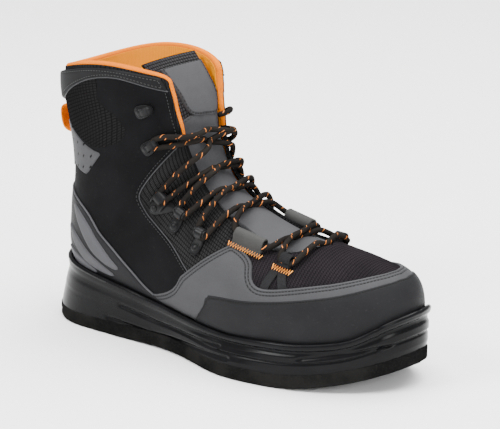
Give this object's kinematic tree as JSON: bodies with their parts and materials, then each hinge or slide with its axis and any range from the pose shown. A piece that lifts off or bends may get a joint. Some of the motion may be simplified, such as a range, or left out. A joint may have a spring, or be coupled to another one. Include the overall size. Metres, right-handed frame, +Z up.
{
  "type": "wading boot",
  "caption": "Laced ankle-high wading boot for the right foot, with a thick cupped midsole and a flat felt sole.",
  "frame": {"origin": "on the ground, in the middle of the boot's length and width", "axes": "+X to the toe, +Y to the inner (medial) side of the foot, +Z up"},
  "size_m": [0.318, 0.1177, 0.2149],
  "materials": {
    "felt_black": "matt felt",
    "rubber_black": "semi-gloss",
    "foam_orange": "matt textile on foam",
    "mesh_black": "woven mesh",
    "textile_grey": "matt textile",
    "rubber_dark_grey": "satin",
    "synthetic_grey": "satin coated",
    "synthetic_black": "satin coated",
    "rubber_grey": "satin",
    "rubber_mid_grey": "satin",
    "synthetic_dark_grey": "satin coated",
    "webbing_dark": "woven tape",
    "webbing_grey": "woven tape",
    "metal_black": "satin black",
    "hook_black": "satin black",
    "webbing_orange": "woven tape",
    "lace_black": "round braid"
  },
  "bodies": {
    "root": {"outsole_felt": "felt_black", "midsole": "rubber_black", "insole": "foam_orange", "upper": "mesh_black", "tongue": "textile_grey", "toe_rand": "rubber_dark_grey", "forefoot_overlay": "synthetic_grey", "shaft_panel": "synthetic_black", "heel_counter": "rubber_grey", "ankle_patch": "synthetic_grey", "collar_cuff": "synthetic_dark_grey", "pull_loop": "webbing_orange", "counter_fin_1_lateral": "rubber_mid_grey", "counter_fin_2_lateral": "rubber_mid_grey", "counter_fin_3_lateral": "rubber_mid_grey", "low_loop_lateral": "webbing_dark", "tunnel_loop_lateral": "webbing_grey", "lace_guide_1_lateral": "metal_black", "lace_guide_2_lateral": "metal_black", "lock_hook_lateral": "hook_black", "speed_hook_1_lateral": "hook_black", "speed_hook_2_lateral": "hook_black", "counter_fin_1_medial": "rubber_mid_grey", "counter_fin_2_medial": "rubber_mid_grey", "counter_fin_3_medial": "rubber_mid_grey", "low_loop_medial": "webbing_dark", "tunnel_loop_medial": "webbing_grey", "lace_guide_1_medial": "metal_black", "lace_guide_2_medial": "metal_black", "lock_hook_medial": "hook_black", "speed_hook_1_medial": "hook_black", "speed_hook_2_medial": "hook_black", "lace_bar_low": "lace_black", "lace_cross_1": "lace_black", "lace_cross_2": "lace_black", "lace_cross_3": "lace_black", "lace_cross_4": "lace_black", "lace_cross_5": "lace_black", "lace_bar_top": "lace_black"}
  },
  "joints": []
}
